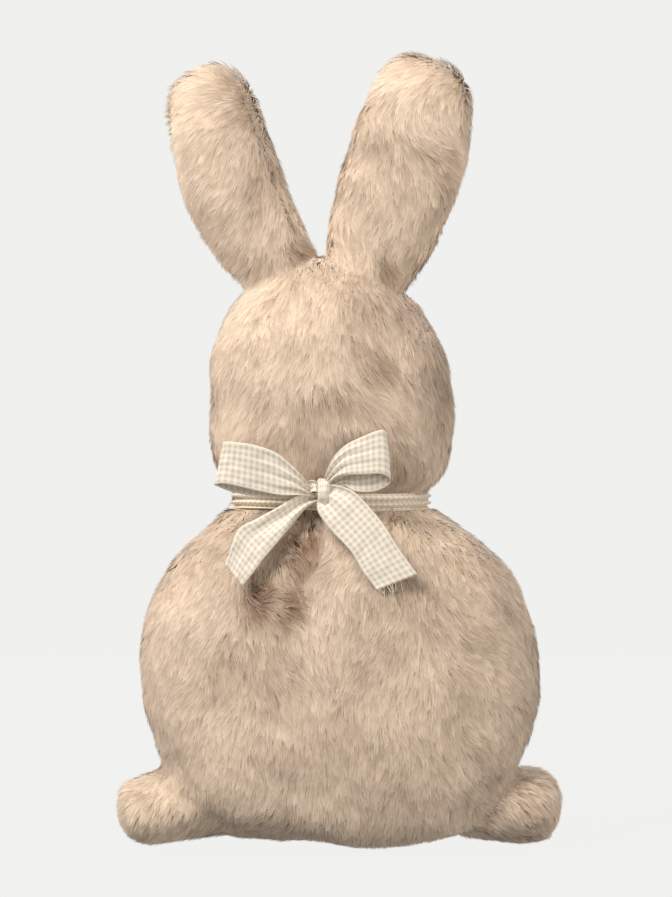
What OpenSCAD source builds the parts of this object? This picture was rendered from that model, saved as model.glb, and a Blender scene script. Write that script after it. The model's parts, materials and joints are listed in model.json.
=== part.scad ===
// A stuffed plush rabbit with no face, cut as a front and a back silhouette of long pile fabric, and a
// checked ribbon tied in a bow round its neck. Millimetres, +Z up, the bow faces -Y.
// Every outer surface is the tip of the pile, so the solids have the size that a hand feels.

/* [Torso] */
// Width of the torso across the hips
torso_w = 242; // [200:1:300]
// Depth of the torso, front to back
torso_d = 120; // [90:1:150]
// Height of the neck pivot above the base
torso_h = 216; // [175:1:262]

/* [Head] */
// Width of the head
head_w = 152; // [125:1:186]
// Depth of the head, front to back
head_d = 108; // [88:1:132]
// Height of the head, from the neck pivot to the crown between the ears
head_h = 146; // [120:1:176]
// Sideways offset of the head and the neck, towards -X
head_shift = 5; // [0:0.5:10]
// How far the head nods forward, in degrees
nod_forward = 8; // [5:1:15]
// How far the head nods back, in degrees
nod_back = 15; // [5:1:20]

/* [Neck] */
// Width of the neck inside the ribbon
neck_w = 114; // [95:1:136]
// Depth of the neck inside the ribbon
neck_d = 68; // [62:1:80]
// Radius of the stuffed neck that the head turns on
neck_r = 26; // [22:1:28]
// Height of the tied collar under the pivot
collar_h = 11; // [9:0.5:14]

/* [Ears] */
// Length of the ear on the -X side, from its fold to its tip
ear_left_len = 128; // [105:1:158]
// Length of the ear on the +X side, from its fold to its tip
ear_right_len = 135; // [110:1:166]
// Width of the ear on the -X side
ear_left_w = 65; // [54:1:72]
// Width of the ear on the +X side
ear_right_w = 70; // [58:1:76]
// Depth of both ears, front to back
ear_d = 46; // [42:1:56]
// Lean of the ear on the -X side from upright, in degrees
ear_left_lean = 20; // [12:1:26]
// Lean of the ear on the +X side from upright, in degrees
ear_right_lean = 17; // [12:1:26]
// Radius of the stuffed root that each ear folds on
ear_r = 13; // [10:0.5:15]
// How far an ear folds forward, in degrees
ear_fold = 40; // [20:1:50]
// How far an ear folds back, in degrees
ear_back = 30; // [15:1:40]

/* [Feet] */
// Distance across both feet, toe to toe
feet_span = 269; // [255:1:300]
// Height of a foot
foot_h = 53; // [44:1:58]
// Depth of a foot, front to back
foot_d = 62; // [52:1:74]
// Distance from the middle to the seam that a foot turns on
foot_seam = 84; // [74:1:92]
// Radius of the stuffed root that a foot turns on
foot_r = 20; // [16:0.5:22]
// How far a foot swings each way, in degrees
foot_swing = 15; // [5:1:20]

/* [Fabric] */
// Thickness of the fur fabric with its pile
fur_t = 8; // [5:0.5:10]
// Clearance between the filling and the fabric round it
filling_gap = 0.3; // [0.2:0.1:1]
// Clearance round a stuffed root that turns
turn_gap = 0.8; // [0.5:0.1:1.5]

/* [Ribbon] */
// Width of the ribbon
ribbon_w = 25; // [18:1:32]
// Thickness of the ribbon where it is tied, with its creases
ribbon_t = 1.2; // [0.8:0.1:2]
// Width of the knot
knot_w = 17; // [14:0.5:22]
// Height of the knot
knot_h = 17; // [14:0.5:22]
// Depth of the knot
knot_d = 12; // [10:0.5:16]
// Reach of the bow loop on the -X side from the middle of the knot
loop_left_len = 60; // [48:1:72]
// Reach of the bow loop on the +X side from the middle of the knot
loop_right_len = 41; // [34:1:49]
// Width across a bow loop at its open end
loop_w = 29; // [20:1:34]
// Thickness of a bow loop, both layers and the air between them
loop_t = 7; // [5:0.5:10]
// Rise of a loop from the knot to its open end
loop_rise = 18; // [8:1:24]
// How far the open end of a loop stands in front of the knot
loop_forward = 11; // [6:0.5:12]
// Width of a tail at its cut end
tail_w = 24; // [17:1:31]
// Thickness of a tail with its curl
tail_t = 2.4; // [1.2:0.1:4]
// Sideways run of the tail on the -X side, from the knot to its cut end
tail_left_run = 52; // [42:1:62]
// Drop of the tail on the -X side, from the knot to its cut end
tail_left_drop = 40; // [32:1:48]
// Sideways run of the tail on the +X side, from the knot to its cut end
tail_right_run = 38; // [30:1:46]
// Drop of the tail on the +X side, from the knot to its cut end
tail_right_drop = 44; // [35:1:53]
// How far the cut end of a tail stands in front of the knot
tail_forward = 14; // [8:0.5:16]
// How far a loop swings forward, in degrees
loop_swing = 35; // [10:1:50]
// How far a tail lifts, in degrees
tail_lift = 60; // [20:1:80]

/* [Hidden] */
fur = "burlywood";
fluff = "whitesmoke";
ribbon = "ivory";
big = 1200;             // larger than the whole rabbit
sides = 28;             // corners of a section of a stuffed part
root_fn = 48;           // corners of a stuffed root
neck_fn = 96;           // corners of the neck and of the ribbon round it
wedge_gap = 2;          // degrees left between two parts at the end of a swing
air = 0.4;              // space between two level faces of different parts
fold_air = 0.01;        // how far a turning part starts off its own axis
fold_share = 0.35;      // how thin the fabric is in a fold, as a share of its thickness
neck_z = torso_h;
neck_x = -head_shift;
neck_post = 30;         // how far the neck runs down into the torso under the collar
root_wall = 1;          // least wall round the hollow that the neck's root turns in
// Width of the neck's root, as wide as the collar still holds it
neck_root_w = neck_w * sqrt(1 - pow((neck_r + turn_gap + root_wall) / (neck_d / 2), 2));
crown_shift = 6.5;      // sideways offset of the crown from the middle of the head, towards -X
crown_x = neck_x - crown_shift;
crown_z = neck_z + head_h - 1;
crown_dip = 3;          // how far the top of the head lies under the crown between the ears
ear_root_share = 0.86;  // width of an ear at its fold, as a share of its full width
ear_bow = 0.11;         // how far an ear bows outwards, as a share of its width
ear_gap = 1;            // from the middle of the crown to an ear's fold
ear_web = 1.5;          // from the middle of the crown to an ear's root, at its nearest
foot_reach = feet_span / 2 - foot_seam;
foot_press = 1.5;       // how far a foot is pressed flat underneath
foot_dip = 3;           // how far a foot's root ends under the foot's top
ribbon_gap = 0.1;       // clearance between the neck and the ribbon tied round it
ring_share = 0.85;      // height of the tied ribbon, as a share of the collar's
ring_low = neck_z - collar_h + air;
ring_h = ring_share * collar_h - air;
ring_y = -(neck_d / 2 + ribbon_gap + ribbon_t);    // front of the tied ribbon
knot_shift = 5.5;       // sideways offset of the knot from the middle of the neck, towards -X
knot_gap = 0.05;        // clearance between the knot and the tied ribbon
knot_x = neck_x - knot_shift;
knot_y = ring_y - knot_d / 2 - knot_gap;
knot_z = neck_z - 1;
chin_gap = 13;          // pile and filling that the knot presses away round itself
chin_room = max(knot_w, knot_h) / 2 + chin_gap;
cheek_room = 110;       // radius of the shallow hollow that the loops press into the chin
cheek_back = 8.5;        // how far behind the knot's middle that hollow reaches
cheek_up = 12;          // how far above the knot its middle lies
loop_start = 1.5;       // from the knot's edge to a loop's root
loop_off = [4, 2];      // a loop's root in front of and above the knot's middle
loop_tilt = 14;         // how far a loop's open end is turned from upright, in degrees
tail_off = [3, 1, 2.6]; // a tail's root beside the middle, in front of it and under the knot

// Outlines of the stuffed parts, from bottom to top. Each row is a section:
// [share of the height, share of the half width, share of the half depth, sideways shift]
// The shift is in mm, except in EAR, where it is a share of the ear's bow.
TORSO = [
    [-0.010, 0.36, 0.40, 0], [0.000, 0.44, 0.47, 0], [0.020, 0.56, 0.55, 0], [0.060, 0.70, 0.65, 0],
    [0.120, 0.81, 0.76, 0], [0.200, 0.88, 0.86, 0], [0.280, 0.92, 0.94, 0], [0.380, 0.98, 0.99, 0],
    [0.500, 1.00, 1.00, 0], [0.600, 0.975, 0.99, 0], [0.690, 0.93, 0.95, -1], [0.770, 0.85, 0.89, -2],
    [0.830, 0.76, 0.82, -3], [0.880, 0.65, 0.74, -4], [0.920, 0.555, 0.655, -5], [0.948, 0.485, 0.58, -5]
];
HEAD = [
    [0.000, 0.74, 0.66, 0], [0.035, 0.85, 0.74, 0], [0.090, 0.93, 0.84, 0], [0.170, 0.985, 0.93, 0],
    [0.280, 1.00, 0.99, 0], [0.400, 0.99, 1.00, 0], [0.520, 0.97, 0.97, -1], [0.620, 0.92, 0.92, -2],
    [0.720, 0.84, 0.83, -2.5], [0.800, 0.74, 0.73, -3], [0.870, 0.62, 0.61, -5],
    [0.940, 0.44, 0.46, -6.5], [1.000, 0.18, 0.28, -6.5]
];
EAR = [
    [0.000, 0.86, 0.86, 0], [0.140, 0.95, 0.96, 0.55], [0.300, 1.00, 1.00, 0.95], [0.440, 1.00, 0.99, 1.00],
    [0.580, 0.98, 0.95, 0.95], [0.720, 0.93, 0.88, 0.65], [0.840, 0.80, 0.76, 0.35],
    [0.930, 0.60, 0.58, 0.10], [0.980, 0.36, 0.38, 0], [1.000, 0.16, 0.20, 0]
];
FOOT = [
    [0.000, 0.86, 0.80, 0], [0.250, 0.96, 0.95, 0], [0.500, 1.00, 1.00, 0], [0.720, 0.90, 0.92, 0],
    [0.880, 0.70, 0.74, 0], [0.960, 0.48, 0.52, 0], [1.000, 0.24, 0.28, 0]
];

// Points of one section, a rounded oval
function oval(z, hw, hd, shift) =
    [for (i = [0:sides - 1]) [shift + hw * cos(360 * i / sides), hd * sin(360 * i / sides), z]];

// Closed solid through rings of the same number of points
module loft(rings) {
    n = len(rings[0]);
    last = len(rings) - 1;
    polyhedron(
        points = [for (ring = rings) for (p = ring) p],
        faces = concat(
            [[for (i = [0:n - 1]) i]],
            [for (k = [0:last - 1]) for (i = [0:n - 1])
                [k * n + i, (k + 1) * n + i, (k + 1) * n + (i + 1) % n]],
            [for (k = [0:last - 1]) for (i = [0:n - 1])
                [k * n + i, (k + 1) * n + (i + 1) % n, k * n + (i + 1) % n]],
            [[for (i = [n - 1:-1:0]) last * n + i]]
        )
    );
}

// A stuffed part that stands on z = 0, inset by t at its sides and top and by low_t at its foot.
// bow_out scales the sideways shifts.
module stuffed(outline, w, d, h, t, low_t, bow_out = 1) {
    loft([for (r = outline)
        oval(low_t + r[0] * (h - t - low_t), r[1] * (w / 2 - t), r[2] * (d / 2 - t), r[3] * bow_out)]);
}

// Round stuffed root on the X axis, w wide
module root_x(r, w) {
    rotate([0, 90, 0]) cylinder(r = r, h = w, center = true, $fn = root_fn);
}

// The space above two planes through the X axis, front_a and back_a degrees above level
module above(front_a, back_a) {
    rotate([90, 0, 90])
        linear_extrude(big, center = true)
            polygon([[0, 0], [big * cos(back_a), big * sin(back_a)], [0, 2 * big],
                [-big * cos(front_a), big * sin(front_a)]]);
}

// The same space for a part that turns on the Y axis, a degrees above level on both sides
module above_y(a) {
    rotate([0, 0, -90]) above(a, a);
}

// How far the fabric's inner face stands off a fold, when the part is inset by t
function fold_wall(t) = fold_air + fold_share * t;

// Front or back half: side is -1 for the front, 1 for the back
module half(side) {
    intersection() {
        children();
        translate([-big / 2, side < 0 ? -big : 0, -big / 2]) cube([big, big, big]);
    }
}

// What lies above a level z
module from_z(z) {
    translate([-big / 2, -big / 2, z]) cube([big, big, big]);
}

/* Torso */

module torso_shape(t) {
    difference() {
        union() {
            intersection() {
                stuffed(TORSO, torso_w, torso_d, torso_h, t, t);
                from_z(t);
            }
            translate([neck_x, 0, torso_h - collar_h - neck_post])
                scale([neck_w / 2 - t, neck_d / 2 - t, 1])
                    cylinder(r = 1, h = collar_h + neck_post - air, $fn = neck_fn);
        }
        translate([neck_x, 0, neck_z]) root_x(neck_r + turn_gap, neck_root_w);
        for (s = [-1, 1]) foot_room(s);
    }
}

// The space that a foot and its root need beside the torso: s is -1 for the left foot
module foot_room(s) {
    translate([s * foot_seam, 0, -1]) cylinder(r = foot_r + turn_gap, h = foot_h + 2, $fn = root_fn);
    translate([s > 0 ? foot_seam : -foot_seam - big, -big / 2, -1]) cube([big, big, foot_h + 2]);
}

module torso_panel(side) {
    color(fur) half(side) difference() {
        torso_shape(0);
        torso_shape(fur_t);
    }
}

module torso_filling() {
    color(fluff) torso_shape(fur_t + filling_gap);
}

/* Head */

module head_shape(t) {
    difference() {
        union() {
            intersection() {
                translate([neck_x, 0, neck_z + air]) stuffed(HEAD, head_w, head_d, head_h - crown_dip, t, 0);
                translate([neck_x, 0, neck_z + fold_wall(t)])
                    above(nod_forward + wedge_gap, nod_back + wedge_gap);
            }
            translate([neck_x, 0, neck_z]) root_x(neck_r - t, neck_root_w - 2 * turn_gap - 2 * t);
        }
        for (s = [-1, 1]) at_ear(s) ear_room(s);
        bow_room(t);
    }
}

// The hollow that the knot and the loops press under the chin
module bow_room(t) {
    translate([knot_x, knot_y, knot_z]) sphere(r = chin_room + t, $fn = 64);
    translate([knot_x, knot_y + cheek_back - cheek_room, knot_z + cheek_up])
        sphere(r = cheek_room + t, $fn = 96);
}

module head_panel(side) {
    color(fur) half(side) difference() {
        head_shape(0);
        head_shape(fur_t);
    }
}

module head_filling() {
    color(fluff) head_shape(fur_t + filling_gap);
}

/* Ears: s is -1 for the ear on the -X side and 1 for the ear on the +X side */

function ear_w(s) = s < 0 ? ear_left_w : ear_right_w;
function ear_len(s) = s < 0 ? ear_left_len : ear_right_len;
function ear_lean(s) = s < 0 ? ear_left_lean : ear_right_lean;
function ear_inner(s) = ear_root_share * ear_w(s) / 2 + ear_gap;
function ear_base(s) = [
    crown_x + s * ear_inner(s) * cos(ear_lean(s)), 0, crown_z - ear_inner(s) * sin(ear_lean(s))
];
// Width of an ear's root, which ends before it meets the other ear's
function ear_root_w(s) = 2 * (ear_inner(s) - (ear_r + turn_gap) * tan(ear_lean(s)) - ear_web);

// Moves a part from its own upright place on the origin to the ear's fold
module at_ear(s) {
    translate(ear_base(s)) rotate([0, s * ear_lean(s), 0]) children();
}

// The space that an ear and its root need in the top of the head
module ear_room(s) {
    translate([s > 0 ? -ear_inner(s) : ear_inner(s) - big, -big / 2, -air]) cube([big, big, big]);
    root_x(ear_r + turn_gap, ear_root_w(s) + 2 * turn_gap);
}

module ear_shape(s, t) {
    at_ear(s) {
        intersection() {
            stuffed(EAR, ear_w(s), ear_d, ear_len(s), t, 0, s * ear_w(s) * ear_bow);
            translate([0, 0, fold_wall(t)]) above(ear_fold + wedge_gap, ear_back + wedge_gap);
        }
        root_x(ear_r - t, ear_root_w(s) - 2 * t);
    }
}

module ear_panel(s, side) {
    color(fur) half(side) difference() {
        ear_shape(s, 0);
        ear_shape(s, fur_t);
    }
}

module ear_filling(s) {
    color(fluff) ear_shape(s, fur_t + filling_gap);
}

/* Feet: s is -1 for the foot on the -X side and 1 for the foot on the +X side */

module foot_shape(s, t) {
    intersection() {
        translate([s * foot_seam, 0, 0]) {
            intersection() {
                translate([0, 0, foot_h / 2 - foot_press])
                    rotate([0, s * 90, 0]) stuffed(FOOT, foot_h, foot_d, foot_reach, t, 0);
                translate([s * fold_wall(t), 0, 0]) rotate([0, s * 90, 0]) rotate([0, 0, 90])
                    above_y(foot_swing + wedge_gap);
            }
            translate([0, 0, t]) cylinder(r = foot_r - t, h = foot_h - foot_dip - 2 * t, $fn = root_fn);
        }
        from_z(t);
    }
}

module foot_panel(s, side) {
    color(fur) half(side) difference() {
        foot_shape(s, 0);
        foot_shape(s, fur_t);
    }
}

module foot_filling(s) {
    color(fluff) foot_shape(s, fur_t + filling_gap);
}

/* Ribbon: s is -1 for the loop and the tail on the -X side and 1 for those on the +X side */

// Upright post with the neck's own oval section, grown by t
module neck_post_shape(t, z, h) {
    translate([neck_x, 0, z]) scale([neck_w / 2 + t, neck_d / 2 + t, 1])
        cylinder(r = 1, h = h, $fn = neck_fn);
}

module neck_ribbon() {
    color(ribbon) difference() {
        neck_post_shape(ribbon_gap + ribbon_t, ring_low, ring_h);
        neck_post_shape(ribbon_gap, ring_low - 1, ring_h + 2);
    }
}

module bow_knot() {
    color(ribbon) translate([knot_x, knot_y, knot_z])
        scale([knot_w / 2, knot_d / 2, knot_h / 2]) sphere(r = 1, $fn = 48);
}

// Moves a part that runs towards -X from the origin to the knot, or mirrors it there to run towards +X
module at_knot(s) {
    translate([knot_x, knot_y, knot_z]) mirror([s > 0 ? 1 : 0, 0, 0]) children();
}

// A length of ribbon through stations [x, y, z, half its width, thickness, tilt of its width from +Z]
module strip(stations) {
    loft([for (p = stations)
        [for (c = [[-1, -1], [-1, 1], [1, 1], [1, -1]])
            [p[0] + c[0] * p[3] * sin(p[5]), p[1] + c[1] * p[4] / 2, p[2] + c[0] * p[3] * cos(p[5])]]]);
}

// A loop from beside the knot to its open end. Each row is a share of its length and of its width.
module bow_loop(s) {
    reach = (s < 0 ? loop_left_len : loop_right_len) - knot_w / 2;
    color(ribbon) at_knot(s) strip([
        for (p = [[0.00, 0.16], [0.25, 0.55], [0.60, 0.88], [1.00, 1.00]]) [
            -knot_w / 2 - loop_start - reach * p[0],
            -loop_off[0] - loop_forward * p[0],
            loop_off[1] + loop_rise * p[0],
            p[1] * loop_w / 2,
            loop_t * min(1, 0.5 + p[0]),
            -loop_tilt * p[0]
        ]
    ]);
}

// A tail from under the knot to its cut end. Each row is a share of its length and of its width.
module bow_tail(s) {
    run = s < 0 ? tail_left_run : tail_right_run;
    drop = s < 0 ? tail_left_drop : tail_right_drop;
    color(ribbon) at_knot(s) strip([
        for (p = [[0.00, 0.18], [0.30, 0.70], [0.62, 1.00], [1.00, 1.00]]) [
            -tail_off[0] - run * p[0],
            -tail_off[1] - tail_forward * sin(90 * p[0]),
            -knot_h / 2 - tail_off[2] - drop * p[0],
            p[1] * tail_w / 2,
            tail_t,
            -atan(drop / run)
        ]
    ]);
}

torso_panel(-1);  // torso_front_panel
torso_panel(1);  // torso_back_panel
torso_filling();
head_panel(-1);  // head_front_panel
head_panel(1);  // head_back_panel
head_filling();
ear_panel(-1, -1);  // ear_left_front_panel
ear_panel(-1, 1);  // ear_left_back_panel
ear_filling(-1);  // ear_left_filling
ear_panel(1, -1);  // ear_right_front_panel
ear_panel(1, 1);  // ear_right_back_panel
ear_filling(1);  // ear_right_filling
foot_panel(-1, -1);  // foot_left_front_panel
foot_panel(-1, 1);  // foot_left_back_panel
foot_filling(-1);  // foot_left_filling
foot_panel(1, -1);  // foot_right_front_panel
foot_panel(1, 1);  // foot_right_back_panel
foot_filling(1);  // foot_right_filling
neck_ribbon();
bow_knot();
bow_loop(-1);  // bow_loop_left
bow_loop(1);  // bow_loop_right
bow_tail(-1);  // bow_tail_left
bow_tail(1);  // bow_tail_right
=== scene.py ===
import json
import math

import bmesh
import bpy
import numpy as np
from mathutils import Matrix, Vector
from mathutils.kdtree import KDTree


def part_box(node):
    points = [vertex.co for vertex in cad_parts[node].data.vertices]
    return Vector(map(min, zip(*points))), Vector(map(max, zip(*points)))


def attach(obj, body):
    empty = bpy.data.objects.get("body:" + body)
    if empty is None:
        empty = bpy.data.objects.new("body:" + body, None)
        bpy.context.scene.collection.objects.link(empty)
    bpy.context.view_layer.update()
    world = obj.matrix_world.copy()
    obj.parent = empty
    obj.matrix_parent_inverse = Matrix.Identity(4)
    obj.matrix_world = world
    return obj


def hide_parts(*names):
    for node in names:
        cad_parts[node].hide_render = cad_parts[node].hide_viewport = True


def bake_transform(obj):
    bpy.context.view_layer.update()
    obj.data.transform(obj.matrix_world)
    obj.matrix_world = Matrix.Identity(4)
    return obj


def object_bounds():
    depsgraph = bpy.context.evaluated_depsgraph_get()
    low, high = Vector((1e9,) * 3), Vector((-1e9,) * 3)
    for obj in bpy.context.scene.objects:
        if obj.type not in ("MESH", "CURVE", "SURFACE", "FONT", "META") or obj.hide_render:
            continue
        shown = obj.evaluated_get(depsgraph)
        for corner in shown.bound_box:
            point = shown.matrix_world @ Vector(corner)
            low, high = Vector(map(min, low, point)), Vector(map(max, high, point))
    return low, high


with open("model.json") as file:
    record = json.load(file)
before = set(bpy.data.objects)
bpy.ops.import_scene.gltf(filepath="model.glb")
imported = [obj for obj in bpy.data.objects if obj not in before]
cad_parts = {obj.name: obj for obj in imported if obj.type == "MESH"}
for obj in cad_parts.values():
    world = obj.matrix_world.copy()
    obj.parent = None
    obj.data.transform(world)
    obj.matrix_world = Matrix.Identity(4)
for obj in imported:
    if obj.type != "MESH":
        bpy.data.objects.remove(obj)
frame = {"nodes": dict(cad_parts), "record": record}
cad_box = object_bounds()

MM = 0.001

# --- Camera -------------------------------------------------------------------------------------
# A long lens, level with the middle of the rabbit and square on to its front, so that the outline
# shows as flat as it was cut. The frame leaves a narrow margin above the ears and under the feet.
rabbit_low, rabbit_high = Vector(cad_box[0]), Vector(cad_box[1])
rabbit_mid = (rabbit_low + rabbit_high) / 2
framed_height = (rabbit_high.z - rabbit_low.z) * 1.118
lens_mm, film_mm = 150.0, 36.0
camera_data = bpy.data.cameras.new("camera")
camera_data.lens = lens_mm
camera_data.sensor_width = film_mm
camera_data.clip_end = 20
camera = bpy.data.objects.new("camera", camera_data)
camera.location = (-0.0021, -framed_height * lens_mm / film_mm, rabbit_mid.z)
camera.rotation_euler = (math.pi / 2, 0, 0)
bpy.context.scene.collection.objects.link(camera)
bpy.context.scene.camera = camera

# --- Fur fabric skin ----------------------------------------------------------------------------
# The knitted backing of the long pile fabric, sewn from a front and a back panel and stuffed tight.
# It lies a pile's height inside the outer size, and one skin runs through neck, ears and feet.
PILE = 4.4 * MM
SLACK = 2.0 * MM
rng = np.random.default_rng(7)


def swell(p, size, seed):
    """Smooth noise of about -1 to 1 at the points p, with lumps of about the given size in metres."""
    draw = np.random.default_rng(seed)
    total = np.zeros(len(p))
    for _ in range(7):
        way = draw.normal(size=3)
        way *= draw.uniform(0.7, 1.5) / np.linalg.norm(way)
        total += np.sin(p @ way * (2 * math.pi / size) + draw.uniform(0, 2 * math.pi))
    return total / 3.2


def stuffed(outline, half_w, half_d, height, origin, across=(1, 0, 0), up=(0, 0, 1), bow=1.0):
    """A closed tube of oval sections. Each row of the outline is a share of the height, then of the width and
    the depth, then a sideways and a forward shift."""
    across, up = np.array(across, float), np.array(up, float)
    behind = np.cross(up, across)
    rows = np.array(outline, float)
    fine = np.linspace(rows[0, 0], rows[-1, 0], 40)
    share = np.stack([np.interp(fine, rows[:, 0], rows[:, k]) for k in range(1, 5)], 1)
    turn = np.linspace(0, 2 * math.pi, 48, endpoint=False)
    points = []
    for z, (w, d, shift, out) in zip(fine, share):
        x = shift * bow + w * half_w * np.cos(turn)
        y = out + d * half_d * np.sin(turn)
        points.append(np.array(origin) + np.outer(x, across) + np.outer(y, behind) + z * height * up)
    n = len(turn)
    faces = [list(range(n))[::-1], [(len(fine) - 1) * n + i for i in range(n)]]
    for k in range(len(fine) - 1):
        for i in range(n):
            j = (i + 1) % n
            faces.append([k * n + i, k * n + j, (k + 1) * n + j, (k + 1) * n + i])
    mesh = bpy.data.meshes.new("stuffed")
    mesh.from_pydata(np.concatenate(points).tolist(), [], faces)
    return mesh


# share of height, half width, half depth, sideways shift in metres, forward shift in metres
TORSO = [
    (0.000, 0.40, 0.50, 0, 0), (0.012, 0.54, 0.58, 0, 0), (0.035, 0.64, 0.67, 0, 0),
    (0.080, 0.75, 0.76, 0, 0), (0.140, 0.85, 0.83, 0, 0), (0.220, 0.935, 0.90, .0005, 0),
    (0.300, 0.985, 0.95, .001, 0), (0.400, 1.03, 0.99, .0015, 0), (0.500, 1.035, 1.00, .0015, 0),
    (0.600, 1.00, 0.985, .001, 0), (0.690, 0.935, 0.95, 0, 0), (0.770, 0.845, 0.89, -.001, 0),
    (0.830, 0.745, 0.82, -.002, 0), (0.880, 0.62, 0.73, -.0035, 0), (0.920, 0.525, 0.65, -.005, 0),
    (0.950, 0.51, 0.585, -.0055, 0), (0.975, 0.485, 0.56, -.0055, 0), (1.010, 0.485, 0.56, -.0055, 0),
]
HEAD = [
    (-0.05, 0.70, 0.62, 0, 0), (0.000, 0.72, 0.62, 0, 0), (0.020, 0.80, 0.68, .0005, 0),
    (0.050, 0.90, 0.76, .001, 0), (0.090, 0.96, 0.84, .001, 0),
    (0.170, 1.005, 0.93, .0005, 0), (0.280, 1.01, 0.99, 0, 0),
    (0.400, 0.99, 1.00, 0, 0), (0.520, 0.97, 0.97, -.001, 0), (0.620, 0.92, 0.92, -.002, 0),
    (0.720, 0.84, 0.83, -.0025, 0), (0.800, 0.745, 0.73, -.003, 0), (0.870, 0.62, 0.61, -.005, 0),
    (0.940, 0.44, 0.46, -.0065, 0), (0.985, 0.20, 0.28, -.0065, 0),
]
EAR = [
    (-0.16, 0.56, 0.80, -.3, 0), (0.00, 0.78, 0.84, -.2, 0), (0.140, 0.93, 0.96, .4, 0),
    (0.300, 1.00, 1.00, .85, 0),
    (0.440, 1.02, 0.98, .95, 0), (0.580, 1.02, 0.94, .9, 0), (0.720, 0.98, 0.86, .65, 0),
    (0.840, 0.90, 0.76, .45, 0), (0.920, 0.79, 0.62, .40, 0),
    (0.970, 0.64, 0.48, .45, 0), (1.000, 0.42, 0.30, .5, 0),
]
FOOT = [
    (-0.75, 0.60, 0.62, 0, 0), (-0.30, 0.80, 0.80, 0, 0), (0.000, 0.90, 0.88, 0, 0),
    (0.250, 0.98, 0.97, 0, 0),
    (0.500, 1.02, 1.00, 0, 0), (0.720, 0.98, 0.92, 0, 0), (0.880, 0.82, 0.76, 0, 0),
    (0.960, 0.64, 0.56, 0, 0), (1.000, 0.40, 0.34, 0, 0),
]
joints = {j["name"]: j for j in frame["record"]["behaviour"]["joints"]}


def outer(*nodes):
    """The box round several CAD nodes."""
    boxes = [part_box(n) for n in nodes]
    low = np.min([b[0] for b in boxes], 0)
    high = np.max([b[1] for b in boxes], 0)
    return low, high


def panels(part):
    return outer(part + "_front_panel", part + "_back_panel")


meshes = []
low, high = panels("torso")
torso_w, torso_d = (high - low)[:2]
neck = np.array(joints["neck_nod"]["pos_m"], float)
meshes.append(stuffed(TORSO, torso_w / 2 - PILE - SLACK, torso_d / 2 - PILE - SLACK, neck[2] + 0.006 - PILE,
                      (0, 0, PILE * 0.55 + SLACK)))
low, high = panels("head")
head_w, head_d = high[0] - low[0], high[1] - low[1]
head_top = high[2]
meshes.append(stuffed(HEAD, head_w / 2 - PILE - SLACK, head_d / 2 - PILE - SLACK,
                      head_top - neck[2] - PILE * 0.6 - SLACK, neck))
ear_frames = {}
for side, bow, fuller, longer in (("left", -0.0070, 1.0, 0.002), ("right", 0.0020, 1.11, -0.003)):
    joint = joints[f"ear_{side}_fold"]
    across = np.array(joint["axis"], float)
    up = np.cross(across, (0, 1, 0))
    origin = np.array(joint["pos_m"], float)
    # the ear's own length and width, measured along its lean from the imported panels
    reach = []
    for node in (f"ear_{side}_front_panel", f"ear_{side}_back_panel"):
        part = frame["nodes"][node] if not isinstance(frame["nodes"], list) else bpy.data.objects[node]
        reach.append(np.array([v.co for v in part.data.vertices]))
    reach = np.concatenate(reach) - origin
    length, wide, deep = (reach @ up).max(), np.ptp(reach @ across), np.ptp(reach[:, 1])
    ear_frames[side] = (origin, across, up, length, wide / 2)
    half = wide / 2 - 0.0015 - PILE
    meshes.append(stuffed(EAR, half * fuller - SLACK, deep / 2 - PILE - SLACK,
                          length - PILE * 0.5 - SLACK + longer, origin, across, up, bow))
crown_x = (ear_frames["left"][0][0] + ear_frames["right"][0][0]) / 2
foot_frames = {}
for side, s in (("left", -1), ("right", 1)):
    low, high = panels(f"foot_{side}")
    seam = np.array(joints[f"foot_{side}_swing"]["pos_m"], float)
    reach = max(abs(low[0]), abs(high[0])) - abs(seam[0])
    back = 0.001 if s < 0 else 0.010
    origin = (seam[0], back, (low[2] + high[2]) / 2 - 0.001)
    foot_frames[side] = (np.array(origin), s, reach)
    meshes.append(stuffed(FOOT, (high[2] - low[2]) / 2 - PILE * 0.8 - SLACK,
                          (high[1] - low[1]) / 2 - PILE - SLACK,
                          reach - PILE * 0.5 - SLACK, origin, (0, 0, -s), (s, 0, 0)))

# one closed skin from the overlapping parts, with its creases softened
joined = bmesh.new()
for mesh in meshes:
    joined.from_mesh(mesh)
bmesh.ops.recalc_face_normals(joined, faces=joined.faces)
whole = bpy.data.meshes.new("whole_skin")
joined.to_mesh(whole)
joined.free()
skin = bpy.data.objects.new("whole_skin", whole)
bpy.context.scene.collection.objects.link(skin)


def positions(mesh):
    p = np.empty(len(mesh.vertices) * 3)
    mesh.vertices.foreach_get("co", p)
    return p.reshape(-1, 3)


def normals(mesh):
    n = np.empty(len(mesh.vertices) * 3)
    mesh.vertices.foreach_get("normal", n)
    return n.reshape(-1, 3)


def modified(obj, steps):
    """The mesh of obj after the given modifiers."""
    for kind, settings in steps:
        step = obj.modifiers.new(kind.lower(), kind)
        for name, value in settings.items():
            setattr(step, name, value)
    made = bpy.data.meshes.new_from_object(obj.evaluated_get(bpy.context.evaluated_depsgraph_get()))
    obj.modifiers.clear()
    return made


skin.data = modified(skin, [("REMESH", {"mode": "VOXEL", "voxel_size": 4.2 * MM}),
                            ("SMOOTH", {"factor": 0.5, "iterations": 5})])
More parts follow.
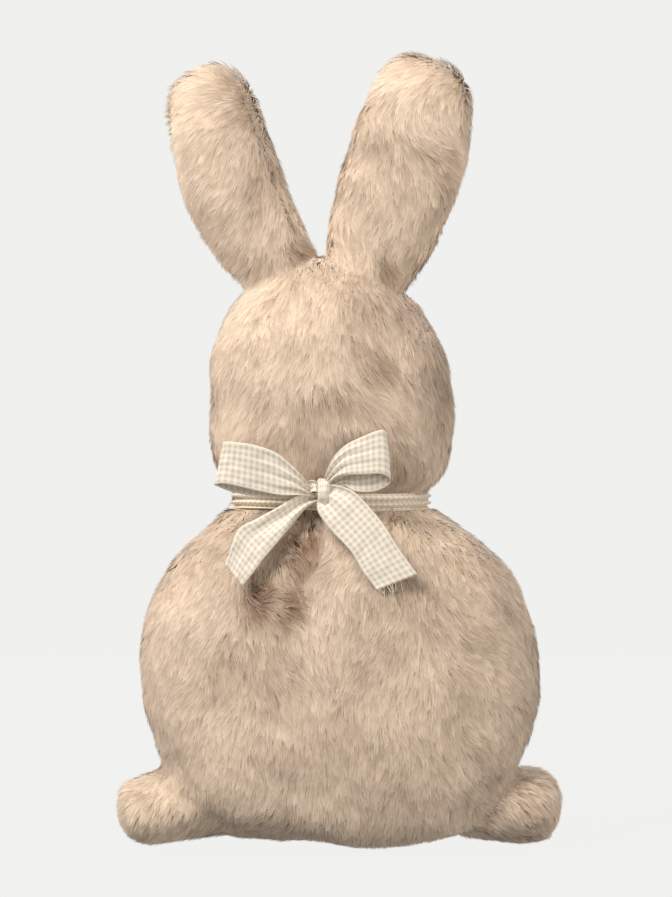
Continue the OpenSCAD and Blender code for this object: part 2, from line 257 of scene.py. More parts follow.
# the left foot runs into the body without a crease, and the right foot keeps its own
cut = positions(skin.data)
foot_way = np.array([0.847, 0, -0.531])     # square to the crease between the hip and a foot
by_crease = np.abs(cut @ (foot_way * (-1, 1, 1)) - 0.066) < 0.022
hip = np.flatnonzero(by_crease & (cut[:, 1] < 0.02) & (cut[:, 2] < 0.062))
skin.vertex_groups.new(name="hip").add(hip.tolist(), 1.0, "REPLACE")
skin.data = modified(skin, [("SMOOTH", {"factor": 0.7, "iterations": 45, "vertex_group": "hip"})])
cut = positions(skin.data)
# the filling pushes the fabric out between its gathers at the neck, so it puckers and pulls tight there
skin.vertex_groups.new(name="tied").add(
    np.flatnonzero(np.abs(cut[:, 2] - neck[2] + 0.006) < 0.006).tolist(), 1.0, "REPLACE")
cloth = skin.modifiers.new("cloth", "CLOTH")
cloth.settings.quality = 6
cloth.settings.mass = 0.25
cloth.settings.tension_stiffness = cloth.settings.compression_stiffness = 14
cloth.settings.shear_stiffness = 6
cloth.settings.bending_stiffness = 0.6
cloth.settings.use_pressure = True
cloth.settings.uniform_pressure_force = 4
cloth.settings.effector_weights.gravity = 0
cloth.settings.vertex_group_mass = "tied"
cloth.point_cache.frame_end = 20
for moment in range(1, 21):
    bpy.context.scene.frame_set(moment)
blown = positions(skin.evaluated_get(bpy.context.evaluated_depsgraph_get()).data)
skin.modifiers.clear()
bpy.context.scene.frame_set(1)
move = blown - cut
far = np.linalg.norm(move, axis=1)
keep = np.minimum(1.0, 1.5 * SLACK / (far + 1e-9))
skin.data.vertices.foreach_set("co", (cut + move * keep[:, None]).ravel())
skin.data.update()
whole = modified(skin, [("SUBSURF", {"levels": 1, "render_levels": 1})])
bpy.data.objects.remove(skin)

points, outward = positions(whole), normals(whole)
# uneven stuffing, gathers where the ribbon draws the neck in, and the seam's slight groove
off_neck = np.abs(points[:, 2] - neck[2] + 0.006)
lumps = 1.5 * MM * swell(points, 0.085, 3) + 0.6 * MM * swell(points, 0.035, 4)
lumps = (lumps + 1.2 * MM) * (1 - np.exp(-((off_neck / 0.015) ** 2))) - 1.2 * MM
around = np.arctan2(points[:, 1], points[:, 0] - neck[0])
gathers = 1.3 * MM * np.exp(-off_neck / 0.020) * np.sin(17 * around + 1.5 * swell(points, 0.06, 5))
gathers *= np.clip((off_neck - 0.005) / 0.006, 0, 1)
# the left ear is turned a little, so its inner seam shows from the front
origin, across, up, length, half = ear_frames["left"]
seam_y = -0.011 * np.clip((points - origin) @ across / half, -1, 1) * ((points - origin) @ up > 0.01) \
    * (points[:, 0] < crown_x)
groove = np.exp(-(((points[:, 1] - seam_y) / 0.0035) ** 2)) * (np.abs(outward[:, 1]) < 0.9)
points = points + outward * (lumps + gathers - 2.0 * MM * groove)[:, None]
# the bow presses the chin in, and the right foot's crease runs down from the hip
knot_low, knot_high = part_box("bow_knot")
knot = (np.array(knot_low) + np.array(knot_high)) / 2
chin = np.exp(-(((points[:, 0] - knot[0]) / 0.042) ** 4) - ((points[:, 2] - knot[2] - 0.012) / 0.024) ** 4)
points[:, 1] += 5 * MM * chin * (points[:, 1] < 0)
# the bottom seam is drawn up a little left of the middle
drawn_up = np.exp(-(((points[:, 0] + 0.028) / 0.030) ** 4)) * np.clip(1 - points[:, 2] / 0.03, 0, 1)
points[:, 2] += 6 * MM * drawn_up
points[:, 2] = np.maximum(points[:, 2], 0.0022)
whole.vertices.foreach_set("co", points.ravel())
whole.update()

# Which moving part each face of the skin belongs to
ribbon_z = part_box("neck_ribbon")
band_low, band_high = ribbon_z[0][2], ribbon_z[1][2]
split_z = neck[2]
foot_near, foot_far = 0.0635, 0.0900


def owner(p):
    """The body of each point: 0 torso, 1 head, 2 and 3 ears, 4 and 5 feet."""
    own = np.where(p[:, 2] > split_z, 1, 0)
    for k, side in enumerate(("left", "right")):
        origin, across, up, length, half = ear_frames[side]
        local = p - origin
        own[(local @ up > 0.004) & (np.abs(local @ across) < half + 0.012)] = 2 + k
    for k, s in enumerate((-1, 1)):
        own[p @ (foot_way * (s, 1, 1)) > foot_near] = 4 + k
    return own


PARTS = ["torso", "head", "ear_left", "ear_right", "foot_left", "foot_right"]


def follow(piece, part):
    """Bakes a piece of the skin or its pile into place; for an ear or a foot it also works out two points along
    the part's fold, which are not used.
    """
    if part in ("torso", "head"):
        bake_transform(piece)
    elif part.startswith("ear"):
        origin, across, up, length, half = ear_frames[part[4:]]
        tuple(origin + up * 0.005)
        tuple(origin + up * 0.042)
        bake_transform(piece)
    else:
        way = foot_way * (-1 if part == "foot_left" else 1, 1, 1)
        tuple(way * foot_near)
        tuple(way * foot_far)
        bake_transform(piece)


class Socket:
    """A shader socket that ordinary sums work on."""

    def __init__(self, tree, socket):
        self.tree, self.socket = tree, socket

    def node(self, kind, settings=None, out=0, **inputs):
        made = self.tree.nodes.new(kind)
        for name, value in (settings or {}).items():
            if name == "stops":
                ramp = made.color_ramp
                while len(ramp.elements) < len(value):
                    ramp.elements.new(0.5)
                for element, (place, colour) in zip(ramp.elements, value):
                    element.position = place
                    element.color = (*colour, 1)
            else:
                setattr(made, name, value)
        for name, value in inputs.items():
            key = int(name[1:]) if name[0] == "_" and name[1:].isdigit() else name.replace("_", " ")
            if isinstance(value, Socket):
                self.tree.links.new(value.socket, made.inputs[key])
            elif value is not None:
                made.inputs[key].default_value = value
        return Socket(self.tree, made.outputs[out])

    def maths(self, operation, other=None, first=None):
        """This value, or first if it is given, put through a sum with another."""
        return self.node("ShaderNodeMath", {"operation": operation}, _0=self if first is None else first,
                         _1=self if first is not None else other)

    def __add__(self, other): return self.maths("ADD", other)
    def __radd__(self, other): return self.maths("ADD", first=other)
    def __sub__(self, other): return self.maths("SUBTRACT", other)
    def __rsub__(self, other): return self.maths("SUBTRACT", first=other)
    def __mul__(self, other): return self.maths("MULTIPLY", other)
    def __rmul__(self, other): return self.maths("MULTIPLY", first=other)
    def __truediv__(self, other): return self.maths("DIVIDE", other)
    def __rtruediv__(self, other): return self.maths("DIVIDE", first=other)
    def __gt__(self, other): return self.maths("GREATER_THAN", other)

    def mix(self, a, b):
        """Colour a where this value is 0, colour b where it is 1."""
        made = self.tree.nodes.new("ShaderNodeMix")
        made.data_type = "RGBA"
        for key, value in ((0, self), (6, a), (7, b)):
            if isinstance(value, Socket):
                self.tree.links.new(value.socket, made.inputs[key])
            else:
                made.inputs[key].default_value = value if key == 0 else (*value, 1)
        return Socket(self.tree, made.outputs[2])


def material(name, **constants):
    """A new Principled material, and a starting socket of its tree."""
    made = bpy.data.materials.new(name)
    made.use_nodes = True
    shader = made.node_tree.nodes["Principled BSDF"]
    for key, value in constants.items():
        shader.inputs[key.replace("_", " ")].default_value = value
    return made, Socket(made.node_tree, None), shader


def srgb(r, g, b):
    """Linear colour from 0 to 255 screen values."""
    return tuple(((c / 255 + 0.055) / 1.055) ** 2.4 if c > 10 else c / 3294 for c in (r, g, b))


backing, tree, shader = material("fur_backing", Roughness=0.95, Sheen_Weight=0.1)
patches = tree.node("ShaderNodeTexNoise", Scale=60.0, Detail=4.0, Vector=tree.node("ShaderNodeTexCoord", out=3))
colour = patches.mix(srgb(208, 174, 140), srgb(226, 196, 164))
backing.node_tree.links.new(colour.socket, shader.inputs["Base Color"])

quads = np.empty(len(whole.polygons) * 4, int)
whole.polygons.foreach_get("vertices", quads)
quads = quads.reshape(-1, 4)
centres = points[quads].mean(1)
face_owner = owner(centres)
skin_pieces = {}
for k, part in enumerate(PARTS):
    mine = quads[face_owner == k]
    used, local = np.unique(mine, return_inverse=True)
    mesh = bpy.data.meshes.new(part + "_skin")
    mesh.from_pydata(points[used].tolist(), [], local.reshape(-1, 4).tolist())
    mesh.shade_smooth()
    mesh.materials.append(backing)
    piece = bpy.data.objects.new(part + "_skin", mesh)
    bpy.context.scene.collection.objects.link(piece)
    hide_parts(part + "_front_panel", part + "_back_panel", part + "_filling")
    follow(piece, part)
    skin_pieces[part] = piece

# --- Pile ---------------------------------------------------------------------------------------
# Long soft polyester pile, brushed down the body. It parts and swirls on the crown and the ears,
# and its fibres cling together in small locks that lie over each other like shingles.
whole.calc_loop_triangles()
triangles = np.empty(len(whole.loop_triangles) * 3, int)
whole.loop_triangles.foreach_get("vertices", triangles)
triangles = triangles.reshape(-1, 3)
vertex_normals = normals(whole)


# the rows at -40, 155 and -24, 178 paint the shadow of the knot and the left tail on the pile, the row at -20,
# 60 paints shade low on the torso, and elsewhere the darker ruffled pile is painted shade in its deeper gaps
RUFFLED_AND_SHADED = [   # x, z, half width, half height in millimetres on the front, and how much it is ruffled and painted darker as shade
    (17, 300, 17, 46, 0.85), (34, 330, 17, 20, 0.75), (-27, 359, 9, 12, 0.9), (29, 352, 8, 18, 0.8),
    (60, 419, 9, 36, 0.6), (-63, 443, 10, 18, 0.5), (-50, 395, 8, 26, 0.5), (-40, 155, 19, 22, 1.5),
    (-24, 178, 19, 26, 1.5), (50, 165, 30, 20, 0.6), (-30, 269, 25, 18, 0.5), (48, 275, 24, 30, 0.6),
    (-5, 272, 34, 12, 0.5),
    (84, 125, 30, 40, 0.35), (-20, 60, 50, 16, 0.3), (100, 34, 16, 20, 0.5),
]


def ruffle_and_shade(p):
    """How ruffled the pile is at each point, from 0 to 1. The same amount paints the pile darker as shade."""
    total = np.clip(0.25 + 0.45 * swell(p, 0.07, 21) + 0.25 * swell(p, 0.025, 22), 0, 1) * 0.4
    for x, z, half_w, half_h, much in RUFFLED_AND_SHADED:
        near = np.exp(-(((p[:, 0] / MM - x) / half_w) ** 2 + ((p[:, 2] / MM - z) / half_h) ** 2) * 1.2)
        total = np.maximum(total, near * much * (p[:, 1] < 0) * (0.8 + 0.35 * swell(p, 0.03, 23)))
    return np.clip(total, 0, 1)


def nap(p, n, ruffled_and_shaded):
    """The way the pile lies at each point: mostly down, swept sideways, and every way where it is ruffled."""
    way = np.tile([0.0, 0.0, -1.0], (len(p), 1))
    on_torso = p[:, 2] < neck[2]
    for side in ("left", "right"):
        # over an ear's tip the pile sweeps across and down
        origin, across, up, length, half = ear_frames[side]
        near_tip = np.clip(((p - origin) @ up / length - 0.62) / 0.3, 0, 1)
        way[:, 0] -= 2.2 * near_tip * (np.abs((p - origin) @ across) < 0.06)
    way[:, 0] += np.where(on_torso, 0.7 * np.clip(p[:, 0] / 0.12, -1, 1) - 0.2,
                          -0.45 * np.clip(0.6 - p[:, 0] / 0.08, 0, 1))
    turned = 0.35 * swell(p, 0.10, 11) + 0.22 * swell(p, 0.035, 12)
    turned = turned + ruffled_and_shaded * (0.9 * swell(p, 0.045, 13) + 0.7)
    flat = way - (way * n).sum(1)[:, None] * n
    flat /= np.linalg.norm(flat, axis=1)[:, None] + 1e-9
    side = np.cross(n, flat)
    return flat * np.cos(turned)[:, None] + side * np.sin(turned)[:, None]


def grow(p, n, length, clump_gap, seed):
    """Pile from the roots p with outward normals n. Returns each strand's line of points, its tone and
    whether it strays from its lock."""
    draw = np.random.default_rng(seed)
    count = len(p)
    ruffled_and_shaded = ruffle_and_shade(p)
    way = nap(p, n, ruffled_and_shaded)
    stray = draw.random(count) < 0.14
    lift = (0.90 + 0.45 * ruffled_and_shaded) * draw.uniform(0.88, 1.10, count) + 0.22 * stray
    reach = length * draw.uniform(0.75, 1.2, count) * (1.0 - 0.2 * stray + 0.35 * ruffled_and_shaded)
    stages = np.array([0.0, 0.5, 1.0])
    tall = PILE * lift[:, None] * np.array([0.0, 0.78, 1.0])[None, :]
    along = reach[:, None] * np.array([0.0, 0.36, 1.0])[None, :]
    side = np.cross(n, way)
    wave = draw.normal(0, 0.13, count)[:, None] * reach[:, None] * (stages ** 1.6)[None, :]
    line = p[:, None] + n[:, None] * tall[..., None] + way[:, None] * along[..., None]
    line = line + side[:, None] * wave[..., None]
    # the strands of a lock lean towards its middle
    middles = draw.choice(count, max(1, int(count / clump_gap)), replace=False)
    tree = KDTree(len(middles))
    for i, c in enumerate(middles):
        tree.insert(p[c], i)
    tree.balance()
    near = np.array([tree.find(q)[1] for q in p])
    lock = line[middles[near]]
    close = np.clip(draw.normal(0.42, 0.18, count), 0, 0.85) * (0.8 + 0.6 * ruffled_and_shaded) * ~stray
    close = close[:, None, None]
    line = line + (lock - line) * np.minimum(close, 0.9) * (stages ** 1.2)[None, :, None]
    lock_tone = draw.normal(0, 1, len(middles))[near]
    tone = 0.77 + 0.08 * lock_tone + 0.07 * draw.normal(0, 1, count) + 0.05 * swell(p, 0.055, 31)
    # painted shade: ruffled pile, the pile under the bow and the low torso are coloured darker, since the
    # strands cast no shadow
    tone = tone - 0.66 * ruffled_and_shaded
    return line, np.clip(tone, 0.02, 0.98), stray


def pile(name, part, p, n, length, width, clump_gap, seed):
    """One mesh of flat tapered strands, with each strand's tone and length in its UV map."""
    draw = np.random.default_rng(seed + 100)
    line, tone, stray = grow(p, n, length, clump_gap, seed)
    count = len(p)
    along = np.gradient(line, axis=1)
    along /= np.linalg.norm(along, axis=2)[..., None] + 1e-9
    face = n + draw.normal(0, 0.25, (count, 3))
    flat = np.cross(along, face[:, None])
    flat /= np.linalg.norm(flat, axis=2)[..., None] + 1e-9
    wide = width * (draw.uniform(0.7, 1.3, count) * (1 - 0.5 * stray))[:, None] * np.array([0.9, 1.0])[None, :]
    left = line[:, :2] - flat[:, :2] * wide[..., None] / 2
    right = line[:, :2] + flat[:, :2] * wide[..., None] / 2
    verts = np.concatenate([np.stack([left, right], 2).reshape(count, 4, 3), line[:, 2:]], 1)
    base = (np.arange(count) * 5)[:, None]
    loops = np.concatenate([base + np.array([0, 1, 3, 2]), base + np.array([2, 3, 4])], 1)
    mesh = bpy.data.meshes.new(name)
    mesh.vertices.add(count * 5)
    mesh.vertices.foreach_set("co", verts.astype(np.float32).ravel())
    mesh.loops.add(count * 7)
    mesh.loops.foreach_set("vertex_index", loops.astype(np.int32).ravel())
    mesh.polygons.add(count * 2)
    starts = (np.arange(count) * 7)[:, None] + np.array([0, 4])
    mesh.polygons.foreach_set("loop_start", starts.astype(np.int32).ravel())
    mesh.update(calc_edges=True)
    v = np.array([0, 0, .5, .5, .5, .5, 1.0])
    s = np.array([-1, 1, 1, -1, -1, 1, 0]) * 0.002
    uv = np.stack([tone[:, None] + s[None, :], np.tile(v * 0.98 + 0.01, (count, 1))], 2)
    layer = mesh.uv_layers.new(name="OFBake")
    layer.data.foreach_set("uv", uv.astype(np.float32).ravel())
    mesh.shade_smooth()
    # fine fibres scatter light as the whole surface does, so they are shaded by the skin's own direction
    own = np.cross(flat, along)
    soft = n[:, None] + 0.2 * own * np.sign((own * n[:, None]).sum(2))[..., None]
    soft = np.concatenate([np.repeat(soft[:, :2], 2, axis=1), soft[:, 2:]], 1).reshape(-1, 3)
    soft /= np.linalg.norm(soft, axis=1)[:, None]
    mesh.normals_split_custom_set_from_vertices(soft)
    mesh.materials.append(fibre)
    piece = bpy.data.objects.new(name, mesh)
    bpy.context.scene.collection.objects.link(piece)
    # so fine a fibre lets the light through, and the shade between the locks is painted into their own colour
    # instead, as darker roots and darker ruffled patches
    piece.visible_shadow = False
    follow(piece, part)
    return piece


fibre, tree, shader = material("pile_fibre", Roughness=0.78, Sheen_Weight=0.35, Sheen_Roughness=0.45)
shader.inputs["Specular IOR Level"].default_value = 0.25
spread = tree.node("ShaderNodeSeparateXYZ", Vector=tree.node("ShaderNodeUVMap", {"uv_map": "OFBake"}))
strand = Socket(fibre.node_tree, spread.socket.node.outputs[1])
# each strand is painted darker at its root than at its tip, which is painted shade deep in the pile; a low
# tone, mostly from ruffled pile painted darker as shade, mixes in the dark ramp below
light = strand.node("ShaderNodeValToRGB", {"stops": [
    (0.0, srgb(208, 182, 154)), (0.3, srgb(231, 209, 184)), (0.75, srgb(246, 229, 208)),
    (1.0, srgb(252, 239, 222)),
]}, Fac=strand)
dark = strand.node("ShaderNodeValToRGB", {"stops": [
    (0.0, srgb(70, 46, 30)), (0.3, srgb(92, 62, 42)), (0.75, srgb(124, 90, 62)), (1.0, srgb(150, 114, 82)),
]}, Fac=strand)
fibre.node_tree.links.new(spread.mix(dark, light).socket, shader.inputs["Base Color"])
# a strand seen from behind is lit as its neighbours are
seen = tree.node("ShaderNodeNewGeometry", out=1)
flat_face = Socket(fibre.node_tree, seen.socket.node.outputs["True Normal"])
from_behind = Socket(fibre.node_tree, seen.socket.node.outputs["Backfacing"])
out_of_face = seen.node("ShaderNodeVectorMath", {"operation": "PROJECT"}, _0=seen, _1=flat_face)
within_face = seen.node("ShaderNodeVectorMath", {"operation": "SUBTRACT"}, _0=seen, _1=out_of_face)
turned = seen.node("ShaderNodeVectorMath", {"operation": "SCALE"}, Vector=within_face, Scale=from_behind * 2)
lit = seen.node("ShaderNodeVectorMath", {"operation": "SUBTRACT"}, _0=seen, _1=turned)
fibre.node_tree.links.new(lit.socket, shader.inputs["Normal"])

corners = points[triangles]
cross = np.cross(corners[:, 1] - corners[:, 0], corners[:, 2] - corners[:, 0])
area = np.linalg.norm(cross, axis=1) / 2
share = np.cumsum(area) / area.sum()
strand_total = int(area.sum() / MM**2 * (1.3))
picked = np.searchsorted(share, rng.random(strand_total))
a, b = rng.random((2, strand_total))
a, b = np.where(a + b > 1, 1 - a, a), np.where(a + b > 1, 1 - b, b)
weights = np.stack([1 - a - b, a, b], 1)
roots = (points[triangles[picked]] * weights[..., None]).sum(1)
root_normals = (vertex_normals[triangles[picked]] * weights[..., None]).sum(1)
root_normals /= np.linalg.norm(root_normals, axis=1)[:, None]
open_fabric = (roots[:, 2] < band_low - 0.0005) | (roots[:, 2] > band_high + 0.001)
roots, root_normals = roots[open_fabric], root_normals[open_fabric]
root_owner = owner(roots)
front = roots[:, 1] < 0
MOST_STRANDS = 60000
STRAND_WIDTH = 0.75 * MM
LOCK_STRANDS = 9
for k, part in enumerate(PARTS):
    for panel, rows in (("front", front), ("back", ~front)):
        mine = np.flatnonzero((root_owner == k) & rows)
        lots = np.array_split(mine, max(1, math.ceil(len(mine) / MOST_STRANDS)))
        for i, lot in enumerate(lots):
            length = (8.0 if part in ("torso", "foot_left", "foot_right") else 9.5) * MM
            name = f"{part}_{panel}_pile" + (f"_{i + 1}" if len(lots) > 1 else "")
            pile(name, part, roots[lot], root_normals[lot], length, STRAND_WIDTH, LOCK_STRANDS,
                 200 + 10 * k + i)

# --- Ribbon -------------------------------------------------------------------------------------
# A 25 mm woven cotton ribbon in a small beige check with plain cream edges. It is tied round the
# neck in a band that has crumpled to half its width, then in a bow with two loops and two cut tails.
WIDE = 25 * MM
CHECK = 3.5 * MM
gingham, tree, shader = material("gingham", Roughness=0.75, Sheen_Weight=0.15)
shader.inputs["Specular IOR Level"].default_value = 0.25
place = tree.node("ShaderNodeSeparateXYZ", Vector=tree.node("ShaderNodeUVMap", {"uv_map": "weave"}))
lengthways, crossways = place, Socket(gingham.node_tree, place.socket.node.outputs[1])


def stripes(way, shift):
    """Soft-edged stripes as wide as the gaps between them: 0 in a gap and 1 in a stripe."""
    wave = (way * (2 * math.pi / CHECK) + shift).maths("SINE")
    return (wave * 1.7 + 0.5).maths("MINIMUM", 1.0).maths("MAXIMUM", 0.0)


warp, weft = stripes(crossways, 0.5), stripes(lengthways, 0.0)
edge = crossways.maths("ABSOLUTE") > WIDE * 0.46
plain = weft.mix(srgb(252, 248, 240), srgb(240, 232, 224))
striped = weft.mix(srgb(243, 231, 210), srgb(226, 208, 178))
checked = warp.mix(plain, striped)
gingham.node_tree.links.new(edge.mix(checked, srgb(247, 240, 226)).socket, shader.inputs["Base Color"])
THREAD = 2 * math.pi / (0.42 * MM)
threads = (lengthways * THREAD).maths("SINE") * (crossways * THREAD).maths("SINE")
bump = tree.node("ShaderNodeBump", Height=threads, Strength=0.25, Distance=0.0001)
gingham.node_tree.links.new(bump.socket, shader.inputs["Normal"])


def smooth_line(stations, count):
    """Evenly spaced points on a smooth curve through the stations."""
    p = np.array(stations, float)
    p = np.concatenate([2 * p[:1] - p[1:2], p, 2 * p[-1:] - p[-2:-1]])
    t = np.linspace(0, len(p) - 3 - 1e-6, count)
    i = t.astype(int)
    f = (t - i)[:, None]
    a, b, c, d = p[i], p[i + 1], p[i + 2], p[i + 3]
    return 0.5 * (2 * b + (c - a) * f + (2 * a - 5 * b + 4 * c - d) * f ** 2 + (3 * b - a - 3 * c + d) * f ** 3)


def ribbon(name, stations, body, fold=0.0, folds=3.0, puff=0.0, centre=None, crumple=0.5, seed=1, start=0.0,
           closed=False):
    """A length of ribbon between two edge lines. Each station is one edge's x, y, z and the other edge's, in
    millimetres from centre. fold is the depth of its lengthwise pleats in millimetres at each station, and puff
    is how far its middle stands out."""
    depths = np.broadcast_to(fold, len(stations))
    table = np.array([list(a) + list(b) + [f] for (a, b), f in zip(stations, depths)])
    line = table if closed else smooth_line(table, 72)
    n, m = len(line), 25
    share = np.linspace(0, 1, m)
    grid = line[:, None, :3] * (1 - share)[None, :, None] + line[:, None, 3:6] * share[None, :, None]
    along = np.gradient(grid, axis=0)
    over = np.gradient(grid, axis=1)
    face = np.cross(along, over)
    face /= np.linalg.norm(face, axis=2)[..., None] + 1e-9
    depth = line[:, 6:7] * np.sin(share * 2 * math.pi * folds + 0.6)[None, :]
    depth = depth + puff * np.sin(math.pi * share)[None, :]
    middle = np.linalg.norm(np.diff(grid.mean(1), axis=0), axis=1)
    far = np.concatenate([[0], np.cumsum(middle)])
    flat = np.stack([np.broadcast_to(far[:, None], (n, m)), np.broadcast_to(share * 25, (n, m)),
                     np.zeros((n, m))], 2).reshape(-1, 3)
    creases = crumple * (0.7 * swell(flat, 22, seed) + 0.5 * swell(flat, 9, seed + 1)).reshape(n, m)
    grid = (grid + face * (depth + creases)[..., None]) * MM + (knot if centre is None else centre)
    faces = [[i * m + j, (i + 1) * m + j, (i + 1) * m + j + 1, i * m + j + 1]
             for i in range(n - 1) for j in range(m - 1)]
    mesh = bpy.data.meshes.new(name)
    mesh.from_pydata(grid.reshape(-1, 3).tolist(), [], faces)
    layer = mesh.uv_layers.new(name="weave")
    uv = np.stack([(far[:, None] + start) * MM * np.ones((1, m)),
                   (share - 0.5)[None, :] * WIDE * np.ones((n, 1))], 2)
    corners = np.empty(len(mesh.loops), int)
    mesh.loops.foreach_get("vertex_index", corners)
    layer.data.foreach_set("uv", uv.reshape(-1, 2)[corners].ravel())
    mesh.shade_smooth()
    mesh.materials.append(gingham)
    piece = bpy.data.objects.new(name, mesh)
    bpy.context.scene.collection.objects.link(piece)
    thick = piece.modifiers.new("thickness", "SOLIDIFY")
    thick.thickness = 0.35 * MM
    thick.offset = 0
    if body == "torso":
        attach(piece, body)
    else:
        # its root in the knot and the way it leaves the knot are worked out, and the piece is baked into place
        # as it lies
        root, way = grid[:6].mean((0, 1)), grid[n // 3].mean(0) - grid[:6].mean((0, 1))
        way /= np.linalg.norm(way)
        tuple(root + way * 0.010)
        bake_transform(piece)
    return piece, far[-1] * MM, grid


# the band round the neck, pleated lengthwise
ring_low, ring_high = (np.array(c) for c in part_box("neck_ribbon"))
ring_mid, ring_half = (ring_low + ring_high) / 2, (ring_high - ring_low) / 2
round_neck = []
for a in np.linspace(math.radians(-78), math.radians(282), 181):
    x, y = math.cos(a) * (ring_half[0] + 0.0006) / MM, math.sin(a) * (ring_half[1] + 0.0006) / MM
    sag = 0.9 * math.sin(2 * a + 0.6)
    round_neck.append(((x, y, 5.2 + sag), (x * 0.995, y * 0.995, -4.8 + sag)))
band, band_length, _ = ribbon("neck_band", round_neck, "torso", fold=1.45, folds=2.5, centre=ring_mid,
                              crumple=0.3, seed=40, closed=True)
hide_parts("neck_ribbon")

# the knot: two short turns of ribbon rolled over each other, and the pinched ends beside them
knot_pieces = []
for name, line in (
    ("knot_wrap", [((-2.6, 2, 7), (4.4, 2, 7.5)), ((-2.4, -5, 6), (4.6, -5.4, 6.4)),
    ((-2.2, -8.4, 2.6), (4.6, -8.8, 2.8)),
                   ((-2.2, -8.6, -2.4), (4.2, -9, -2.6)), ((-2.2, -5, -6.4), (3.8, -5, -6.8)),
                   ((-2.4, 2, -7), (3.6, 2, -7.4))]),
    ("knot_turn_left", [((-10, -0.5, 3), (-8.6, -1, -3)), ((-8.8, -5, 6.6), (-6.8, -5.6, 0.4)),
                        ((-5.6, -7.6, 7.6), (-3.8, -8, 1.2)), ((-2, -7.6, 6.4), (-1.2, -7.8, 0)),
                        ((1, -4, 4), (1, -4, -2))]),
    ("knot_turn_right", [((1, -4, 3), (2, -4, -4)), ((4.2, -7.4, 4.8), (5, -7.4, -2.6)),
                         ((7, -6.2, 4.2), (7.8, -6, -3.4)), ((9, -2, 2.4), (9.4, -2, -4))]),
):
    piece, _, _ = ribbon(name, line, "torso", fold=0.35, folds=1.5, puff=1.6, crumple=0.45,
                         seed=50 + len(knot_pieces))
    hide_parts("bow_knot")
    knot_pieces.append(piece)

# the loops: out along the front, round the fold and back behind to the knot
loop_left, length, _ = ribbon("left_loop", [
    ((-4, -3, 3), (-4, -3, -2)), ((-8, -5.5, 5), (-8, -5.5, -1.5)), ((-14, -9, 12.5), (-13.5, -9, -1)),
    ((-25.4, -12.5, 23), (-25, -12.5, -0.9)), ((-39, -15, 28.3), (-40, -15, 2)),
    ((-53, -16, 30.3), (-56, -16, 5.6)),
    ((-57.4, -14, 30.2), (-62, -13.6, 5.2)), ((-57, -11.6, 29.4), (-61.5, -11, 4.2)),
    ((-48, -10.5, 26), (-52, -9.8, 0.6)), ((-36, -10, 21.5), (-38, -9, -1.8)),
    ((-22, -7, 13), (-23, -6.4, -2.6)),
    ((-10, -3.5, 5), (-10, -3.5, -2.4)), ((-4, -2, 2), (-4, -2, -2)),
], "bow_loop_left", fold=[1.0, 1.4, 1.2, 0.5, 0.15, 0, 0, 0, 0, 0.2, 0.6, 1.2, 1.0], crumple=0.55, seed=60)
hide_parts("bow_loop_left")

loop_right, length, _ = ribbon("right_loop", [
    ((1, -3, 6), (2, -3, 2)), ((2.2, -6, 12), (5, -6.5, 6.2)), ((6.5, -10, 21), (10.5, -10.5, 9.6)),
    ((14, -12.6, 28.4), (16, -13.4, 10.8)), ((24, -14.6, 33.4), (25, -15.6, 11)),
    ((34.2, -15.6, 37.2), (34.6, -16.6, 11.4)),
    ((37.6, -13.6, 36), (40.4, -13.8, 8.4)), ((37, -11, 33), (39, -11, 4.6)),
    ((30, -9.6, 28), (30.4, -9.8, 0.8)),
    ((20, -8, 22), (20.4, -8.4, 1.0)), ((12, -6, 14), (13, -6.4, 4.4)), ((3, -3, 5), (3, -3, 2)),
], "bow_loop_right", fold=[1.0, 1.4, 1.2, 0.5, 0.2, 0, 0, 0, 0, 0.4, 1.0, 1.0], crumple=0.5, seed=70, start=31)
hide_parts("bow_loop_right")

# the tails hang from under the knot, a little curled, to slanting cut ends
tail_left, length, _ = ribbon("left_tail", [
    ((-3, -2, -1.5), (-2, -2, -5)), ((-12, -5.5, -0.6), (-9.5, -6, -9.5)),
    ((-25.4, -9, -8.2), (-17.5, -11, -18.5)),
    ((-38, -11.5, -15), (-25, -14.5, -27.5)), ((-48.5, -13, -20.8), (-33, -15.8, -37)),
    ((-53, -14.4, -31), (-39.8, -16, -46)), ((-56.6, -14.8, -42.1), (-46.5, -15.6, -54.5)),
], "bow_tail_left", fold=[1.3, 2.0, 1.7, 0.9, 0.4, 0.15, 0], folds=1.5, crumple=0.6, seed=80)
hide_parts("bow_tail_left")

tail_right, length, cloth = ribbon("right_tail", [
    ((-1.5, -4, -4), (3, -4.5, 4.0)), ((-2.4, -7, -8), (8, -8, 4.6)), ((-1, -9.6, -13), (17.4, -11.5, 1.9)),
    ((5.6, -12, -21.8), (25.2, -13.6, -5)), ((16.9, -14, -33.9), (35.6, -15.2, -17.4)),
    ((24.2, -15, -45.8), (46, -16, -33.4)), ((32.5, -15.6, -56.8), (56.3, -16.4, -47.7)),
], "bow_tail_right", fold=[1.0, 1.5, 1.1, 0.3, 0.05, 0, 0], folds=2.0, crumple=0.5, seed=90)
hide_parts("bow_tail_right")

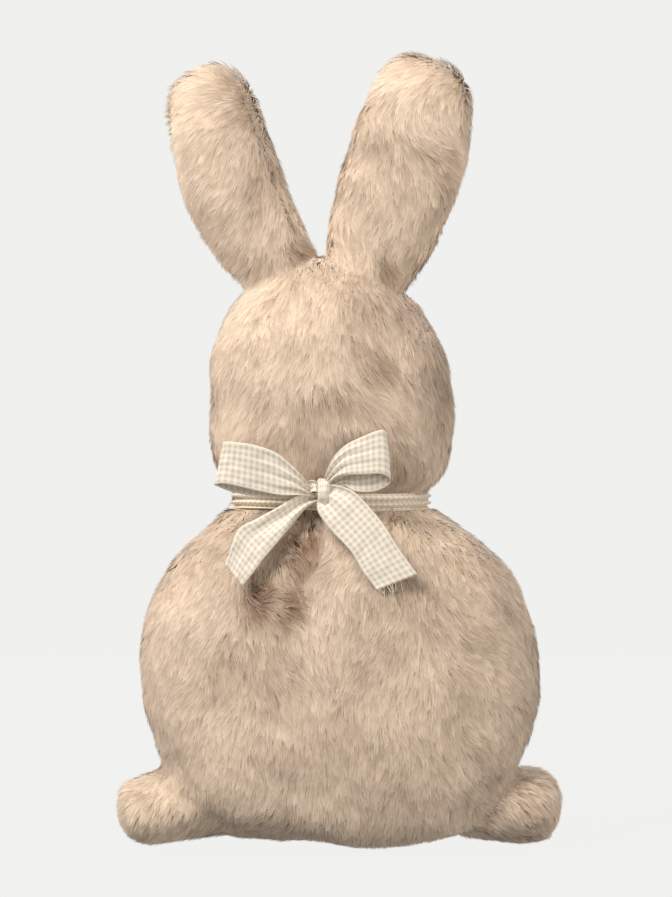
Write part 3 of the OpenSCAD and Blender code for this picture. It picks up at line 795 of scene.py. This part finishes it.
# a few warp threads have come loose at its cut end
verts, faces = [], []
loose = np.random.default_rng(95)
end, back = cloth[-1], cloth[-4]
for j in (1, 2, 4, 6, 8, 9, 11, 14):
    root, way = end[j], end[j] - back[j]
    way = way / np.linalg.norm(way) + loose.normal(0, 0.28, 3) + (-0.35, -0.1, 0)
    for k in range(3):
        spot = root + way * k * loose.uniform(1.6, 2.4) * MM + (0, 0, -0.12 * MM * k * k)
        for turn in range(3):
            verts.append(tuple(spot + 0.22 * MM * np.array((math.cos(2.1 * turn), math.sin(2.1 * turn), 0))))
    base = len(verts) - 9
    faces += [(base + 3 * k + t, base + 3 * k + (t + 1) % 3,
               base + 3 * k + 3 + (t + 1) % 3, base + 3 * k + 3 + t)
              for k in range(2) for t in range(3)]
mesh = bpy.data.meshes.new("right_tail_fringe")
mesh.from_pydata(verts, [], faces)
thread, _, _ = material("loose_thread", Base_Color=(*srgb(246, 236, 218), 1), Roughness=0.8)
mesh.materials.append(thread)
fringe = bpy.data.objects.new("right_tail_fringe", mesh)
bpy.context.scene.collection.objects.link(fringe)
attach(fringe, "bow_tail_right")

# --- Floor and lights ---------------------------------------------------------------------------
# A plain pale floor that curves up into a wall all round, and soft light from the upper left.
sweep, tree, shader = material("pale_sweep", Roughness=0.9)
shader.inputs["Base Color"].default_value = (0.01, 0.01, 0.01, 1)
shader.inputs["Specular IOR Level"].default_value = 0
shader.inputs["Emission Color"].default_value = (*srgb(241, 241, 239), 1)
shader.inputs["Emission Strength"].default_value = 0.985
profile = [(0.0, 0.0), (1.0, 0.0), (3.4, 0.0)]
profile += [(3.4 + 0.9 * math.sin(a), 0.9 - 0.9 * math.cos(a)) for a in np.linspace(0.15, math.pi / 2, 10)]
profile += [(4.3, 4.5)]
turns = np.linspace(0, 2 * math.pi, 72, endpoint=False)
mesh = bpy.data.meshes.new("floor_sweep")
mesh.from_pydata(
    [(r * math.cos(t), r * math.sin(t), z) for r, z in profile for t in turns], [],
    [(72 * i + j, 72 * i + (j + 1) % 72, 72 * (i + 1) + (j + 1) % 72, 72 * (i + 1) + j)
     for i in range(len(profile) - 1) for j in range(72)],
)
mesh.shade_smooth()
mesh.materials.append(sweep)
floor = bpy.data.objects.new("floor_sweep", mesh)
bpy.context.scene.collection.objects.link(floor)
floor.visible_diffuse = False


def lamp(name, place, aim, size, watts, tint):
    data = bpy.data.lights.new(name, "AREA")
    data.shape, data.size, data.energy, data.color = "DISK", size, watts, tint
    made = bpy.data.objects.new(name, data)
    made.location = place
    made.rotation_euler = (Vector(aim) - Vector(place)).to_track_quat("-Z", "Y").to_euler()
    made.visible_camera = False
    bpy.context.scene.collection.objects.link(made)


lamp("key_light", (-1.35, -1.25, 1.95), (0, 0, 0.25), 1.0, 54, (1.0, 0.97, 0.93))
lamp("fill_light", (1.7, -1.8, 0.9), (0, 0, 0.22), 1.5, 21, (1.0, 0.96, 0.91))
lamp("back_bounce", (0, 1.7, 1.1), (0, 0, 0.25), 2.0, 24, (1.0, 0.97, 0.93))
world = bpy.data.worlds.new("studio")
bpy.context.scene.world = world
world.use_nodes = True
world.node_tree.nodes["Background"].inputs["Color"].default_value = (1.0, 0.96, 0.91, 1)
world.node_tree.nodes["Background"].inputs["Strength"].default_value = 0.32
bpy.context.scene.view_settings.view_transform = "Standard"
